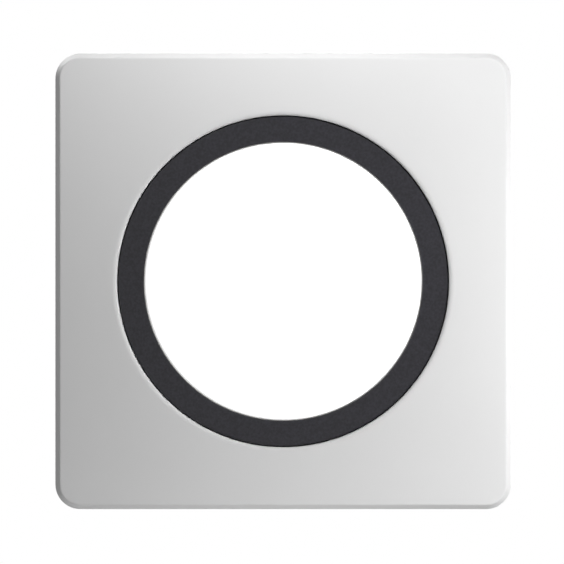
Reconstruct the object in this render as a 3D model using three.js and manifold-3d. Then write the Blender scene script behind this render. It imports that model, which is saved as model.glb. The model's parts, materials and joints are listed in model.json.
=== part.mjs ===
// A flush-mounted wall thermostat with a rotary setting ring and a backlit push face.
// It is drawn lying on its back: x to the right, y up the wall, z out of the wall into the room, with
// z = 0 on the wall plane. The last lines stand it up, so that its front faces -Y. Millimetres.

import * as THREE from 'three';
import { mergeVertices } from 'three/addons/utils/BufferGeometryUtils.js';
import Module from 'manifold-3d';

const wasm = await Module();
wasm.setup();

// ---------------------------------------------------------------- driving dimensions

const GAP = 0.3; // clearance between pieces that lie on each other
const FINE = 48; // sides of the large round pieces
const MEDIUM = 16; // sides of the round parts on the power board
const COARSE = 8; // sides of the small round pieces
const CORNER_STEPS = 4; // steps in a rounded corner

// cover plate
const PLATE_HALF = 43;
const PLATE_CORNER = 4.7;
const PLATE_FRONT = 14;
const PLATE_BACK = 0.3;
const CHAMFER_WIDTH = 0.9;
const CHAMFER_DEPTH = 1.8;
const WALL = 1.8;
const FACE_THICKNESS = 2.2;
const LIP_RADIUS = 1.1;
const VENT = { width: 1.4, back: 5.4, front: 10.4, pitch: 6, eachSide: 4 };
const RELEASE_NOTCH = { width: 8, depth: 1.7 };

// setting ring and face disc
const RING_OUTER = 31;
const RING_INNER = 26.4;
const RING_FRONT = 13.5;
const RING_CHAMFER = 0.4;
const RING_FLANGE = 32.6;
const FLANGE_BACK = 10.1;
const FLANGE_FRONT = 11.3;
const CHANNEL_INNER = 27.8; // the channel in the ring's back that holds the magnet ring
const CHANNEL_OUTER = 29.8;
const CHANNEL_FRONT = 11.9;
const CLICKS = 24;
const DISC_RADIUS = 26.05;
const DISC_FRONT = 13.8;
const DISC_THICKNESS = 1.2;
const SKIRT_INNER = 24.2;
const SKIRT_OUTER = 25.1;
const SKIRT_LIP = 25.55;
const SKIRT_BACK = 9.8;
const SLITS = 3; // cuts right across the skirt
const SLIT_WIDTH = 1.2;
const OPENING_RADIUS = RING_OUTER + GAP;

// levels of the front unit, from the wall outwards
const SHELL_BACK = 3.2;
const SHELL_THICKNESS = 1;
const BOARD_BACK = 4.9;
const BOARD_THICKNESS = 1.2;
const BOARD_FRONT = BOARD_BACK + BOARD_THICKNESS;
const CARRIER_BACK = 7.6;
const CARRIER_THICKNESS = 1.4;
const CARRIER_FRONT = CARRIER_BACK + CARRIER_THICKNESS;
const UNIT_HALF = 37.8; // rear shell and carrier
const UNIT_CORNER = 4;
const PLATE_INSIDE = PLATE_FRONT - FACE_THICKNESS;
const HOUSING_SCREW = 33; // each way from the middle
const BOSS = 3; // radius of the posts round the housing screws
const SCREW_HOLE = 1.4; // radius of a screw's clearance hole
const PILOT_HOLE = 1.3; // radius of the hole a screw bites in

// the carrier's rail and sleeve, which the setting ring turns on
const RAIL_INNER = 29.5;
const RAIL_OUTER = 32.4;
const RAIL_FRONT = 9.9;
const SLEEVE_OUTER = RING_INNER + 0.35;
const SLEEVE_BORE = 25.8;
const SLEEVE_LIP = 25.3;
const SLEEVE_FRONT = 11.9;
const CARRIER_BORE = 21.6;
const ROOT = 0.5; // how far a joined post or wall reaches into its base

// retaining springs and the ledges that they snap behind
const SPRING_X = 16; // each way from the middle
const SPRING_WIDTH = 10;
const SPRING_THICKNESS = 0.4;
const LEDGE_WIDTH = SPRING_WIDTH + 2;

// mounting frame and wall fixing
const FRAME_HALF = 35.5;
const FRAME_BACK = 0.5;
const FRAME_THICKNESS = 1.2;
const FRAME_FRONT = FRAME_BACK + FRAME_THICKNESS;
const FRAME_OPENING = 19.5;
const WALL_SCREW_PITCH = 60;

// power unit
const BOX_HALF = 25;
const BOX_CORNER = 14;
const BOX_DEPTH = 27;
const BOX_WALL = 1.6;
const BOX_RIM = FRAME_BACK - GAP;
const POST = 17.5; // each way from the middle
const POST_RADIUS = 3.4;
const POWER_BOARD_BACK = -13;
const POWER_BOARD_FRONT = -11.6;
const PLUG = { x: 0, y: -10, width: 16, height: 6 };
const PIN_COLUMNS = [-2, -1, 0, 1, 2];
const PIN_PITCH = 2.54;
const POLES = 5;
const POLE_PITCH = 5;
const TERMINAL_Y = -18;
const TERMINAL_DEPTH = 10;
const TERMINAL_BACK = -25.1;
const WIRE_Z = -19;
const WIRE_HOLE = 3.4;

// ---------------------------------------------------------------- materials

const material = (color, roughness, metalness = 0) =>
  new THREE.MeshStandardMaterial({ color, roughness, metalness });

const WHITE = material(0xf0f0ee, 0.45);
const WHITE_INNER = material(0xe4e4e0, 0.6);
const CHARCOAL = material(0x37373a, 0.55);
const OPAL = material(0xffffff, 0.4);
const CLEAR = material(0xe8f0f2, 0.15);
const MAGNET = material(0x3a3330, 0.7, 0.2);
const STEEL = material(0xb9bcc0, 0.35, 0.9);
const SPRING = material(0xcfd0cc, 0.25, 0.95);
const BOARD = material(0x1f5a3a, 0.4);
const CHIP = material(0x1c1c1e, 0.5);
const BLACK = material(0x202022, 0.6);
const GREY = material(0x8e9092, 0.6);
const RELAY_BLUE = material(0x2f5f9a, 0.4);
const COPPER = material(0xa35a2a, 0.5, 0.3);
const AMBER = material(0xb5502a, 0.45);
const TERMINAL = material(0x4f7a4a, 0.5);
const BRASS = material(0xc2a661, 0.3, 0.9);

// ---------------------------------------------------------------- solids

// A closed geometry as a solid that can be cut and joined.
function solid(geometry) {
  const bare = geometry.clone();
  bare.deleteAttribute('normal');
  bare.deleteAttribute('uv');
  const merged = mergeVertices(bare);
  const corner = merged.index.array;
  const kept = [];
  for (let i = 0; i < corner.length; i += 3) {
    const [a, b, c] = corner.slice(i, i + 3);
    if (a !== b && b !== c && c !== a) kept.push(a, b, c);
  }
  return new wasm.Manifold(
    new wasm.Mesh({
      numProp: 3,
      vertProperties: new Float32Array(merged.attributes.position.array),
      triVerts: new Uint32Array(kept),
    })
  );
}

// A solid as a geometry for a mesh.
function geometryOf(shape) {
  const mesh = shape.getMesh();
  const geometry = new THREE.BufferGeometry();
  geometry.setAttribute('position', new THREE.BufferAttribute(mesh.vertProperties, 3));
  geometry.setIndex(new THREE.BufferAttribute(mesh.triVerts, 1));
  geometry.computeVertexNormals();
  return geometry;
}

const join = (...shapes) => shapes.reduce((whole, next) => whole.add(next));
const cut = (whole, ...tools) => tools.reduce((left, tool) => left.subtract(tool), whole);

// A box centred on (x, y) that reaches from z0 to z1.
function box(width, height, z0, z1, x = 0, y = 0) {
  const geometry = new THREE.BoxGeometry(width, height, z1 - z0);
  return solid(geometry.translate(x, y, (z0 + z1) / 2));
}

// A solid of revolution about z, from profile points [radius, z].
function turned(profile, sides = FINE, x = 0, y = 0) {
  const points = profile.map(([r, z]) => new THREE.Vector2(r, z));
  const closed = profile[0][0] > 0 ? [...points, points[0].clone()] : points;
  if (THREE.ShapeUtils.area(closed) < 0) closed.reverse();
  const geometry = new THREE.LatheGeometry(closed, sides);
  return solid(geometry.rotateX(Math.PI / 2).translate(x, y, 0));
}

const rod = (radius, z0, z1, x = 0, y = 0, sides = COARSE) =>
  turned([[0, z0], [radius, z0], [radius, z1], [0, z1]], sides, x, y);

const tube = (inner, outer, z0, z1, sides = FINE) =>
  turned([[inner, z0], [outer, z0], [outer, z1], [inner, z1]], sides);

// An outline in x and y, extruded from z0 to z1.
function slab(outline, z0, z1) {
  const geometry = new THREE.ExtrudeGeometry(outline, {
    depth: z1 - z0,
    bevelEnabled: false,
    curveSegments: CORNER_STEPS,
  });
  return solid(geometry.translate(0, 0, z0));
}

function roundedSquare(half, radius) {
  const inner = half - radius;
  const outline = new THREE.Shape();
  outline.absarc(inner, inner, radius, 0, Math.PI / 2);
  outline.absarc(-inner, inner, radius, Math.PI / 2, Math.PI);
  outline.absarc(-inner, -inner, radius, Math.PI, Math.PI * 1.5);
  outline.absarc(inner, -inner, radius, Math.PI * 1.5, Math.PI * 2);
  return outline;
}

// A square whose corners are cut off where |x| + |y| passes the limit.
function cutSquare(half, limit) {
  const short = limit - half;
  const corners = [
    [half, -short], [half, short], [short, half], [-short, half],
    [-half, short], [-half, -short], [-short, -half], [short, -half],
  ];
  return new THREE.Shape(corners.map(([x, y]) => new THREE.Vector2(x, y)));
}

// The outline of a bent strip of the given thickness along a centre line.
function strip(line, thickness) {
  const points = line.map(([x, y]) => new THREE.Vector2(x, y));
  const side = (reach) =>
    points.map((point, i) => {
      const before = points[Math.max(i - 1, 0)];
      const after = points[Math.min(i + 1, points.length - 1)];
      const along = after.clone().sub(before).normalize();
      return new THREE.Vector2(point.x - along.y * reach, point.y + along.x * reach);
    });
  return new THREE.Shape([...side(-thickness / 2), ...side(thickness / 2).reverse()]);
}

const QUARTERS = [[1, 1], [-1, 1], [-1, -1], [1, -1]];

// ---------------------------------------------------------------- scene graph

function piece(name, shape, look, place = [0, 0, 0]) {
  const mesh = new THREE.Mesh(geometryOf(shape), look);
  mesh.name = name;
  mesh.position.set(...place);
  return mesh;
}

const group = (...children) => new THREE.Group().add(...children);

// ---------------------------------------------------------------- screws

// A pan-head screw with its thread end towards -z and the seat of its head at z = 0.
function screw(shaft, length, head, headHeight) {
  const slotWidth = head * 0.3;
  const slotDepth = headHeight * 0.5;
  const blank = turned(
    [
      [0, -length], [shaft * 0.5, -length], [shaft, -length + shaft * 0.8], [shaft, 0],
      [head, 0], [head, headHeight * 0.55], [head * 0.75, headHeight], [0, headHeight],
    ],
    COARSE
  );
  const top = headHeight + 1;
  return cut(
    blank,
    box(head * 1.2, slotWidth, headHeight - slotDepth, top),
    box(slotWidth, head * 1.2, headHeight - slotDepth, top)
  );
}

// ---------------------------------------------------------------- front unit

function coverPlate() {
  const inside = PLATE_HALF - WALL;
  const midWall = PLATE_HALF - WALL / 2;
  const outline = roundedSquare(PLATE_HALF, PLATE_CORNER);
  const chamfered = new THREE.ExtrudeGeometry(outline, {
    depth: PLATE_FRONT,
    bevelThickness: CHAMFER_DEPTH,
    bevelSize: CHAMFER_WIDTH,
    bevelOffset: -CHAMFER_WIDTH,
    bevelSegments: 1,
    curveSegments: CORNER_STEPS,
  }).translate(0, 0, -CHAMFER_DEPTH);
  const lip = [0, 1, 2, 3].map((step) => {
    const turn = (step / 3) * (Math.PI / 2);
    return [
      OPENING_RADIUS + LIP_RADIUS * (1 - Math.cos(turn)),
      PLATE_FRONT - LIP_RADIUS * (1 - Math.sin(turn)),
    ];
  });
  const above = PLATE_FRONT + 1;
  const widest = OPENING_RADIUS + LIP_RADIUS;
  let shell = cut(
    solid(chamfered),
    box(2 * PLATE_HALF + 2, 2 * PLATE_HALF + 2, -2 * CHAMFER_DEPTH - 1, PLATE_BACK),
    slab(roundedSquare(inside, PLATE_CORNER - WALL), PLATE_BACK - 1, PLATE_INSIDE),
    turned([[0, PLATE_BACK], [OPENING_RADIUS, PLATE_BACK], ...lip, [widest, above], [0, above]])
  );
  for (const [sx, sy] of QUARTERS) {
    const x = sx * HOUSING_SCREW;
    const y = sy * HOUSING_SCREW;
    shell = join(shell, rod(BOSS, CARRIER_FRONT + GAP, PLATE_INSIDE + ROOT, x, y));
    shell = cut(shell, rod(PILOT_HOLE, CARRIER_FRONT, PLATE_INSIDE - 0.6, x, y));
    shell = join(shell, ledge(sx, sy, inside));
  }
  for (const side of [1, -1]) {
    for (let slot = -VENT.eachSide; slot <= VENT.eachSide; slot += 1) {
      const x = slot * VENT.pitch;
      shell = cut(shell, box(VENT.width, WALL + 1, VENT.back, VENT.front, x, side * midWall));
    }
  }
  return cut(shell, box(RELEASE_NOTCH.width, WALL + 1, 0, RELEASE_NOTCH.depth, 0, -midWall));
}

// The ledge inside the cover plate that snaps behind a retaining spring.
function ledge(sx, sy, inside) {
  const profile = new THREE.Shape(
    [[inside + 0.5, 3], [inside, 3], [inside - 1.1, 3.8], [inside - 1.1, 4.6], [inside + 0.5, 4.6]]
      .map(([y, z]) => new THREE.Vector2(y, z))
  );
  return sideways(profile, LEDGE_WIDTH, sx * SPRING_X, sy);
}

// An outline in y and z, extruded along x about the middle x, on the upper or the lower side.
function sideways(outline, width, x, side) {
  const geometry = new THREE.ExtrudeGeometry(outline, { depth: width, bevelEnabled: false });
  geometry.translate(0, 0, -width / 2);
  geometry.applyMatrix4(new THREE.Matrix4().set(0, 0, 1, 0, 1, 0, 0, 0, 0, 1, 0, 0, 0, 0, 0, 1));
  if (side < 0) geometry.rotateZ(Math.PI);
  return solid(geometry.translate(x, 0, 0));
}

function bearingCarrier() {
  const root = CARRIER_FRONT - ROOT;
  let carrier = join(
    cut(
      slab(roundedSquare(UNIT_HALF, UNIT_CORNER), CARRIER_BACK, CARRIER_FRONT),
      rod(CARRIER_BORE, CARRIER_BACK - 1, CARRIER_FRONT + 1, 0, 0, FINE)
    ),
    tube(RAIL_INNER, RAIL_OUTER, root, RAIL_FRONT),
    turned([
      [SLEEVE_BORE, root], [SLEEVE_OUTER, root], [SLEEVE_OUTER, SLEEVE_FRONT],
      [SLEEVE_LIP, SLEEVE_FRONT], [SLEEVE_LIP, SLEEVE_FRONT - 1], [SLEEVE_BORE, SLEEVE_FRONT - 1],
    ])
  );
  for (const [sx, sy] of QUARTERS) {
    const x = sx * HOUSING_SCREW;
    const y = sy * HOUSING_SCREW;
    carrier = join(carrier, rod(BOSS, BOARD_FRONT + GAP, CARRIER_BACK + ROOT, x, y));
    carrier = cut(carrier, rod(SCREW_HOLE, BOARD_FRONT, CARRIER_FRONT + 1, x, y));
  }
  for (const side of [1, -1]) {
    carrier = join(carrier, box(2, 2, root, 11.4, side * 10.6, 35.2));
  }
  return carrier;
}

// Outer and inner skirt under a flat face, with a channel between them for the magnet ring.
function settingRing() {
  const lip = SLEEVE_FRONT + GAP;
  const bore = SLEEVE_OUTER + 0.25;
  const ring = turned([
    [CHANNEL_OUTER, FLANGE_BACK], [RING_FLANGE, FLANGE_BACK], [RING_FLANGE, FLANGE_FRONT],
    [RING_OUTER, FLANGE_FRONT], [RING_OUTER, RING_FRONT - RING_CHAMFER],
    [RING_OUTER - RING_CHAMFER, RING_FRONT], [RING_INNER + RING_CHAMFER, RING_FRONT],
    [RING_INNER, RING_FRONT - RING_CHAMFER], [RING_INNER, lip], [bore, lip], [bore, FLANGE_BACK],
    [CHANNEL_INNER, FLANGE_BACK], [CHANNEL_INNER, CHANNEL_FRONT], [CHANNEL_OUTER, CHANNEL_FRONT],
  ]);
  const notches = Array.from({ length: CLICKS }, (_, click) => {
    const notch = new THREE.BoxGeometry(1.4, 1.4, 3).rotateZ(Math.PI / 4);
    notch.translate(RING_FLANGE + 0.1, 0, (FLANGE_BACK + FLANGE_FRONT) / 2);
    return solid(notch.rotateZ((click / CLICKS) * 2 * Math.PI));
  });
  return cut(ring, ...notches);
}

const magnetRing = () =>
  tube(CHANNEL_INNER + GAP, CHANNEL_OUTER - GAP, FLANGE_BACK + 0.1, CHANNEL_FRONT - GAP);

// A leaf that rides in the ring's notches, held at both ends by the carrier's posts.
function clickSpring() {
  const line = [[-9.3, 35.4], [-1.7, 34.6], [-0.35, 32.6], [0.35, 32.6], [1.7, 34.6], [9.3, 35.4]];
  return slab(strip(line, 0.3), 10.2, 11.2);
}

function faceDisc() {
  const back = DISC_FRONT - DISC_THICKNESS;
  const edge = 0.35;
  let disc = turned([
    [0, back], [SKIRT_INNER, back], [SKIRT_INNER, SKIRT_BACK], [SKIRT_OUTER, SKIRT_BACK],
    [SKIRT_LIP, SKIRT_BACK + 0.3], [SKIRT_LIP, SKIRT_BACK + 0.7], [SKIRT_OUTER, SKIRT_BACK + 0.8],
    [SKIRT_OUTER, back], [DISC_RADIUS, back], [DISC_RADIUS, DISC_FRONT - edge],
    [DISC_RADIUS - edge, DISC_FRONT], [0, DISC_FRONT],
  ]);
  for (let slit = 0; slit < SLITS; slit += 1) {
    const blade = new THREE.BoxGeometry(60, SLIT_WIDTH, 3).translate(0, 0, SKIRT_BACK + 1);
    disc = cut(disc, solid(blade.rotateZ((slit / SLITS) * Math.PI)));
  }
  return join(disc, rod(2, 8.8, back + ROOT));
}

function lightGuide() {
  return tube(3.5, 22.6, CARRIER_FRONT + GAP, 10.6, 32);
}

function controlBoard() {
  const half = UNIT_HALF - 1.6;
  let board = slab(roundedSquare(half, UNIT_CORNER - 1.6), BOARD_BACK, BOARD_FRONT);
  for (const [sx, sy] of QUARTERS) {
    const x = sx * HOUSING_SCREW;
    const y = sy * HOUSING_SCREW;
    board = cut(board, rod(SCREW_HOLE, BOARD_BACK - 1, BOARD_FRONT + 1, x, y));
  }
  return board;
}

function rearShell() {
  const rimTop = CARRIER_BACK - GAP;
  const floor = SHELL_BACK + SHELL_THICKNESS;
  let shell = cut(
    slab(roundedSquare(UNIT_HALF, UNIT_CORNER), SHELL_BACK, rimTop),
    slab(roundedSquare(UNIT_HALF - 1.2, UNIT_CORNER - 1.2), floor, rimTop + 1),
    box(PLUG.width + 1, PLUG.height + 1, SHELL_BACK - 1, floor + 1, PLUG.x, PLUG.y),
    box(9, 4, BOARD_FRONT, rimTop + 1, 24, -UNIT_HALF)
  );
  for (const [sx, sy] of QUARTERS) {
    const x = sx * HOUSING_SCREW;
    const y = sy * HOUSING_SCREW;
    shell = join(shell, rod(BOSS, floor - ROOT, BOARD_BACK - GAP, x, y));
    shell = cut(shell, rod(SCREW_HOLE, SHELL_BACK - 1, BOARD_BACK, x, y));
  }
  for (const side of [1, -1]) {
    shell = cut(shell, rod(4.3, SHELL_BACK - 1, floor + 1, (side * WALL_SCREW_PITCH) / 2, 0));
  }
  return shell;
}

// The plug's body hangs from the board, and its pins reach into the power unit's socket.
function boardPlug() {
  let plug = box(PLUG.width, PLUG.height, -0.5, BOARD_BACK - GAP);
  for (const [x, y] of pinPlaces()) plug = join(plug, box(0.6, 0.6, -5.5, 0, x, y));
  return plug;
}

function pinPlaces() {
  const inRow = (row) => PIN_COLUMNS.map((column) => [column * PIN_PITCH, (row * PIN_PITCH) / 2]);
  return [...inRow(-1), ...inRow(1)];
}

const switchBody = () => cut(box(6, 6, 0, 1.9), rod(1.85, 0.2, 3));

function frontUnit() {
  const onBoard = BOARD_FRONT + 0.2;
  const unit = group(
    piece('cover_plate', coverPlate(), WHITE),
    piece('bearing_carrier', bearingCarrier(), WHITE_INNER),
    piece('click_spring', clickSpring(), SPRING),
    piece('light_guide', lightGuide(), CLEAR),
    piece('control_board', controlBoard(), BOARD),
    piece('controller_chip', box(7, 7, 0, 1), CHIP, [-17, 5, onBoard]),
    piece('switch_body', switchBody(), BLACK, [0, 0, onBoard]),
    piece('temperature_sensor', box(3.2, 1.8, 0, 0.9), BLACK, [24, -34, onBoard]),
    piece('board_plug', boardPlug(), BLACK, [PLUG.x, PLUG.y, 0]),
    piece('rear_shell', rearShell(), WHITE_INNER)
  );
  QUARTERS.forEach(([sx, sy], i) => {
    const led = box(3.2, 2.8, 0, 0.8);
    unit.add(piece(`backlight_led_${i + 1}`, led, OPAL, [sx * 11, sy * 11, onBoard]));
    const screwAt = [sx * HOUSING_SCREW, sy * HOUSING_SCREW, SHELL_BACK - 0.1];
    const fastener = piece(`housing_screw_${i + 1}`, screw(1.05, 7.5, 2.2, 1.1), STEEL, screwAt);
    fastener.rotation.y = Math.PI;
    unit.add(fastener);
  });
  for (const [side, x] of [['left', -28.6], ['right', 28.6]]) {
    unit.add(piece(`ring_sensor_${side}`, box(3, 1.6, 0, 1), CHIP, [x, 0, onBoard]));
  }
  return unit;
}

const ringUnit = () =>
  group(
    piece('setting_ring', settingRing(), CHARCOAL),
    piece('magnet_ring', magnetRing(), MAGNET)
  );

const faceButton = () =>
  group(
    piece('face_disc', faceDisc(), OPAL),
    piece('switch_plunger', rod(1.5, 7.1, 8.6), GREY)
  );

// ---------------------------------------------------------------- power unit

// A flat steel sheet with pressed pads that stand on the wall, and slots for the wall screws.
function mountingFrame() {
  let frame = slab(cutSquare(FRAME_HALF, 58), FRAME_BACK, FRAME_FRONT);
  const through = [FRAME_BACK - 1, FRAME_FRONT + 1];
  frame = cut(frame, rod(FRAME_OPENING, ...through, 0, 0, 32));
  for (const side of [1, -1]) {
    const x = (side * WALL_SCREW_PITCH) / 2;
    frame = cut(
      frame,
      box(4, 4.2, ...through, x, 0),
      rod(2.1, ...through, x + 2, 0),
      rod(2.1, ...through, x - 2, 0),
      rod(2.1, ...through, 0, x)
    );
  }
  for (const [sx, sy] of QUARTERS) {
    frame = cut(frame, rod(SCREW_HOLE, ...through, sx * POST, sy * POST));
    frame = join(frame, box(5, 8, 0, FRAME_BACK + 0.2, sx * 31, sy * 12));
  }
  return frame;
}

// A leaf with its foot on the frame and a bump that the cover plate's ledge snaps over.
function retainingSpring(sx, sy) {
  const foot = FRAME_FRONT + GAP + SPRING_THICKNESS / 2;
  const line = [[30.5, foot], [38.8, foot], [39.2, foot + 0.4], [39.2, 4.9], [40.35, 5.7],
    [40.35, 6.2], [39.2, 7.2], [39.2, 8.4]];
  return sideways(strip(line, SPRING_THICKNESS), SPRING_WIDTH, sx * SPRING_X, sy);
}

function powerBox() {
  const floor = -BOX_DEPTH + BOX_WALL;
  const midWall = BOX_HALF - BOX_WALL / 2;
  let shell = cut(
    slab(roundedSquare(BOX_HALF, BOX_CORNER), -BOX_DEPTH, BOX_RIM),
    slab(roundedSquare(BOX_HALF - BOX_WALL, BOX_CORNER - BOX_WALL), floor, BOX_RIM + 1)
  );
  for (const [sx, sy] of QUARTERS) {
    shell = join(shell, rod(POST_RADIUS, floor - ROOT, -1.8, sx * POST, sy * POST));
    shell = cut(shell, rod(PILOT_HOLE, -12, 0, sx * POST, sy * POST));
  }
  for (let pole = 0; pole < POLES; pole += 1) {
    const x = poleX(pole);
    shell = cut(
      shell,
      rod(2.1, -BOX_DEPTH - 1, floor + 1, x, TERMINAL_Y),
      box(WIRE_HOLE, BOX_WALL + 2, WIRE_Z - WIRE_HOLE / 2, WIRE_Z + WIRE_HOLE / 2, x, -midWall)
    );
  }
  return shell;
}

function powerBoxLid() {
  const half = BOX_HALF - BOX_WALL - GAP;
  let lid = cut(
    slab(roundedSquare(half, BOX_CORNER - BOX_WALL - GAP), -1.5, -0.1),
    box(PLUG.width + 1, PLUG.height + 1, -3, 1, PLUG.x, PLUG.y)
  );
  for (const [sx, sy] of QUARTERS) lid = cut(lid, rod(SCREW_HOLE, -3, 1, sx * POST, sy * POST));
  return lid;
}

function boardSocket() {
  let socket = box(PLUG.width, PLUG.height, POWER_BOARD_FRONT + GAP, -0.9);
  for (const [x, y] of pinPlaces()) socket = cut(socket, box(1.1, 1.1, -6.2, 0, x, y));
  return socket;
}

// A ferrite core in two halves around a round winding.
function transformer() {
  const bottom = -24.6;
  const top = POWER_BOARD_BACK - GAP;
  return join(
    box(15, 6, bottom + 0.8, top - 1.5),
    turned([[0, bottom + 2.6], [6.6, bottom + 2.6], [6.6, top - 3.2], [0, top - 3.2]], MEDIUM),
    box(12, 11, top - 2, top),
    box(12, 11, bottom, bottom + 1.2)
  );
}

function electrolytic() {
  const top = 8.4;
  return turned(
    [[0, 0], [4, 0], [4, 1], [3.7, 1.3], [3.7, 1.6], [4, 1.9], [4, top - 0.3], [3.7, top], [0, top]],
    MEDIUM
  );
}

const fuseBody = () => turned([[0, 0], [4.2, 0], [4.2, 7.2], [3.6, 7.8], [0, 7.8]], MEDIUM);

const poleX = (pole) => (pole - (POLES - 1) / 2) * POLE_PITCH;

function terminalBlock() {
  let block = box(
    POLES * POLE_PITCH + 1, TERMINAL_DEPTH, TERMINAL_BACK, POWER_BOARD_BACK - GAP, 0, TERMINAL_Y
  );
  for (let pole = 0; pole < POLES; pole += 1) {
    const x = poleX(pole);
    block = cut(
      block,
      box(4.2, 8, WIRE_Z - 2.5, WIRE_Z + 2.5, x, TERMINAL_Y - 1.1),
      rod(2, TERMINAL_BACK - 1, WIRE_Z, x, TERMINAL_Y)
    );
  }
  return block;
}

// A square clamp with an opening for the wire and a hole for its screw.
function terminalCage() {
  return cut(
    box(3.6, 5, -2.2, 2.2),
    box(2.4, 7, -1.2, 1.4),
    rod(1.3, -3, 0)
  );
}

const terminalScrew = () => screw(1, 4.2, 1.7, 1.4);

function powerUnit() {
  const front = POWER_BOARD_FRONT + GAP;
  const unit = group(
    piece('mounting_frame', mountingFrame(), STEEL),
    piece('power_box', powerBox(), WHITE_INNER),
    piece('power_box_lid', powerBoxLid(), WHITE_INNER),
    piece('power_board', slab(cutSquare(22.6, 29.4), POWER_BOARD_BACK, POWER_BOARD_FRONT), BOARD),
    piece('relay', box(20, 15, 0, 9.3), RELAY_BLUE, [-4, 6.5, front]),
    piece('film_capacitor', box(6, 13, 0, 9), AMBER, [13.5, 5.5, front]),
    piece('smoothing_capacitor', electrolytic(), GREY, [14.5, -7, front]),
    piece('fuse', fuseBody(), BLACK, [-14.5, -7, front]),
    piece('transformer', transformer(), COPPER, [0, 5, 0]),
    piece('board_socket', boardSocket(), BLACK, [PLUG.x, PLUG.y, 0]),
    piece('terminal_block', terminalBlock(), TERMINAL)
  );
  QUARTERS.forEach(([sx, sy], i) => {
    unit.add(piece(`retaining_spring_${i + 1}`, retainingSpring(sx, sy), SPRING));
    const fastener = screw(1.1, 11, 2.3, 1);
    unit.add(piece(`frame_screw_${i + 1}`, fastener, STEEL, [sx * POST, sy * POST, FRAME_FRONT + 0.1]));
  });
  for (let pole = 0; pole < POLES; pole += 1) {
    const at = [poleX(pole), TERMINAL_Y, WIRE_Z];
    unit.add(piece(`terminal_cage_${pole + 1}`, terminalCage(), BRASS, at));
    const fastener = piece(`terminal_screw_${pole + 1}`, terminalScrew(), STEEL, at);
    fastener.position.z -= 4;
    fastener.rotation.y = Math.PI;
    unit.add(fastener);
  }
  for (const [side, x] of [['left', -WALL_SCREW_PITCH / 2], ['right', WALL_SCREW_PITCH / 2]]) {
    unit.add(piece(`wall_screw_${side}`, screw(1.7, 24, 3.8, 2), STEEL, [x, 0, FRAME_FRONT + 0.1]));
  }
  return unit;
}

// ---------------------------------------------------------------- whole thermostat

const thermostat = group(powerUnit(), frontUnit(), ringUnit(), faceButton());
thermostat.rotation.x = Math.PI / 2;

export default thermostat;
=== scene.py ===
"""The looks of a flush-mounted wall thermostat: white plate, charcoal setting ring, opal face whose glow is
painted light that keeps it plain white.
"""

import json
import math

import bmesh
import bpy
from mathutils import Matrix, Vector


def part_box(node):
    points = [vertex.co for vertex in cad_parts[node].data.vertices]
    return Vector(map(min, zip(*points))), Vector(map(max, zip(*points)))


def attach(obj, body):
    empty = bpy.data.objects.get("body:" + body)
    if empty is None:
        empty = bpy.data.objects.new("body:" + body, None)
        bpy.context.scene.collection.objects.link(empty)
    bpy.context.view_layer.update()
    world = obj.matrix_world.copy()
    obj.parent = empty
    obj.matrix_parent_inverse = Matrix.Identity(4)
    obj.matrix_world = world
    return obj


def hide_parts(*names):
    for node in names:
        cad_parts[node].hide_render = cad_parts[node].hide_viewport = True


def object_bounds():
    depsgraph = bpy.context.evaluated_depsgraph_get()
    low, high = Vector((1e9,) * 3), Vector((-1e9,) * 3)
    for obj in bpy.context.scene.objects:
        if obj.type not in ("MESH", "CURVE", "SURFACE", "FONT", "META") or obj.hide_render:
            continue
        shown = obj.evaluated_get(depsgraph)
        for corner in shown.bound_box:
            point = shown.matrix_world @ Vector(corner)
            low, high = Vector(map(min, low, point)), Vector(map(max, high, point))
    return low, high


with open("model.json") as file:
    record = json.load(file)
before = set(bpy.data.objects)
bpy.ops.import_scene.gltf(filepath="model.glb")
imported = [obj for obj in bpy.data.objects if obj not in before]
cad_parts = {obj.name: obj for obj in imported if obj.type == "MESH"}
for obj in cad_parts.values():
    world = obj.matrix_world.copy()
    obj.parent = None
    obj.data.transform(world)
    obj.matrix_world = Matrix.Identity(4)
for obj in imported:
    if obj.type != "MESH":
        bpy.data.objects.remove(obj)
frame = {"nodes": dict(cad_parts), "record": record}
CAD_LOW, CAD_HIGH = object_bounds()

# Shapes are drawn in millimetres as the thermostat lies on its back: x to the right, y up the wall,
# z out of the wall. room() turns such a point into the frame's metres, where the front faces -Y.

HOLD = 0.05  # distance from an arc to the edge loop that keeps the flat beside it flat
SHARP = math.radians(32)  # edges that bend more than this stay crisp


def room(x, y, z):
    return Vector((x, -z, y)) / 1000


class Extent:
    """A CAD node's box, in millimetres."""

    def __init__(self, node):
        low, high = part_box(node)
        self.left, self.right = low.x * 1000, high.x * 1000
        self.bottom, self.top = low.z * 1000, high.z * 1000
        self.back, self.front = -high.y * 1000, -low.y * 1000
        self.half = (self.right - self.left) / 2
        self.width = self.right - self.left
        self.height = self.top - self.bottom
        self.depth = self.front - self.back
        self.x = (self.left + self.right) / 2
        self.y = (self.bottom + self.top) / 2


PLATE = Extent("cover_plate")
RING = Extent("setting_ring")
DISC = Extent("face_disc")
SHELL = Extent("rear_shell")
STEEL_FRAME = Extent("mounting_frame")
POWER_BOX = Extent("power_box")
LID = Extent("power_box_lid")
HOUSING_SCREW = Extent("housing_screw_1")
FRAME_SCREW = Extent("frame_screw_1")
WALL_SCREW = Extent("wall_screw_right")
SPRING = Extent("retaining_spring_1")

# Radii and edge sizes of the front, in millimetres.
PLATE_CORNER = 4.7
PLATE_WALL = 1.8
FACE_THICKNESS = 2.2
CHAMFER_WIDTH = 0.9
CHAMFER_DEPTH = 1.8
RING_OUTER = 31.1
RING_INNER = 26.25
RING_FACE_LEVEL = 13.5
OPENING = 31.3
LIP_WIDTH = 1.0
LIP_DEPTH = 0.4
RIM_WIDTH = 0.6

# Radii that several pieces share, in millimetres.
BOSS = 3.0
SCREW_PILOT = 1.3
SCREW_CLEARANCE = 1.4

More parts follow.
